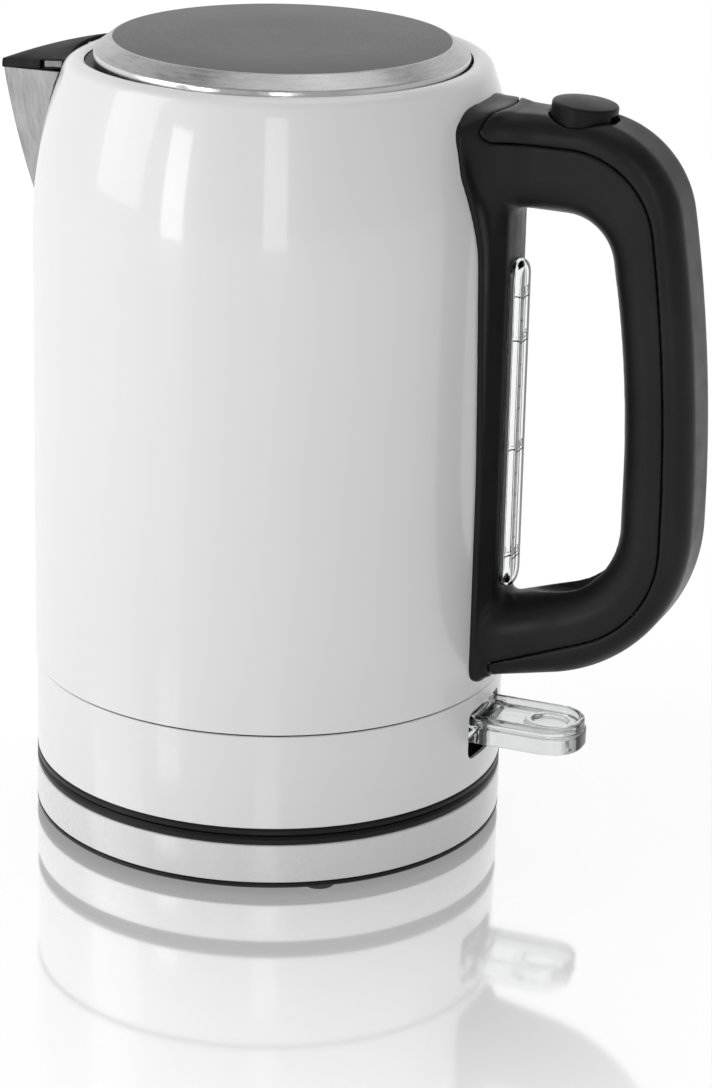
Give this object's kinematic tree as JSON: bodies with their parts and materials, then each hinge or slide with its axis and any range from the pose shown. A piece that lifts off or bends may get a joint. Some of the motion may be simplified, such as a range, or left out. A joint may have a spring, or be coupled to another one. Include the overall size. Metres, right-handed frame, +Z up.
{
  "type": "electric kettle",
  "caption": "Cordless jug kettle on a round turning base, with a hinged lid, lid button, clear water gauge and clear switch lever.",
  "frame": {"origin": "on the surface the kettle stands on, under the jug's axis", "axes": "+Z up along the jug's axis, +X towards the handle, -X towards the spout"},
  "size_m": [0.2224, 0.1445, 0.2383],
  "materials": {
    "white_lacquer": "glossy white lacquer",
    "white_plastic": "glossy white",
    "black_plastic": "satin black, fine texture",
    "black_inner": "plain black",
    "brushed_lid": "brushed, dark",
    "steel": "brushed",
    "chrome": "bright",
    "aluminium": "cast",
    "brass": "plain",
    "rubber": "matt",
    "silicone": "translucent grey",
    "clear": "clear plastic",
    "lamp": "tinted"
  },
  "bodies": {
    "base": {"base_bottom_cover": "black_plastic", "base_ring": "white_plastic", "base_top_plate": "black_plastic", "base_screws": "chrome", "base_feet": "rubber", "base_socket": "black_inner", "base_contacts": "brass", "cord_inlet": "rubber"},
    "connector": {"connector_housing": "black_inner", "connector_pins": "brass"},
    "lid": {"lid_cap": "brushed_lid", "lid_body": "black_inner", "lid_seal": "silicone", "lid_springs": "steel"},
    "button": {"lid_button": "black_plastic", "button_springs": "steel"},
    "latch": {"latch_bolt": "black_inner", "latch_spring": "steel"},
    "lever": {"switch_lever": "clear"},
    "jug": {"body_shell": "white_lacquer", "lower_band": "white_lacquer", "jug_base_cover": "black_plastic", "heating_plate": "steel", "heat_spreader": "aluminium", "heating_element": "aluminium", "controller_body": "black_inner", "bimetal_discs": "brass", "steam_tube": "steel", "steam_thermostat": "black_inner", "indicator_lamp": "lamp", "lever_bracket": "black_inner", "lever_pin": "steel", "jug_screws": "chrome", "spout": "steel", "spout_cover": "black_plastic", "filter_frame": "black_inner", "filter_mesh": "steel", "lid_collar": "black_inner", "lid_hinge_pin": "steel", "handle_body": "black_plastic", "handle_cover": "black_plastic", "water_window": "clear", "window_gasket": "silicone"}
  },
  "joints": [
    {"name": "jug_lift", "type": "slide", "parent": "base", "child": "connector", "axis": [0, 0, 1], "range_m": [0, 0.08]},
    {"name": "jug_turn", "type": "hinge", "parent": "connector", "child": "jug", "pos_m": [0, 0, 0.028], "axis": [0, 0, 1], "continuous": true},
    {"name": "lid_hinge", "type": "hinge", "parent": "jug", "child": "lid", "pos_m": [0.0502, 0, 0.2332], "axis": [0, 1, 0], "range_deg": [0, 75], "deforming": ["lid_springs"]},
    {"name": "button_press", "type": "slide", "parent": "jug", "child": "button", "axis": [-0.0523, 0, -0.9986], "range_m": [0, 0.004], "stiffness_N_per_m": 400, "deforming": ["button_springs"]},
    {"name": "latch_draw", "type": "slide", "parent": "jug", "child": "latch", "axis": [1, 0, 0], "range_m": [0, 0.0028], "deforming": ["latch_spring"]},
    {"name": "switch_press", "type": "hinge", "parent": "jug", "child": "lever", "pos_m": [0.061, 0, 0.0385], "axis": [0, 1, 0], "range_deg": [0, 12]}
  ],
  "couplings": [
    {"joint": "latch_draw", "follows": "button_press", "ratio": 0.7}
  ]
}
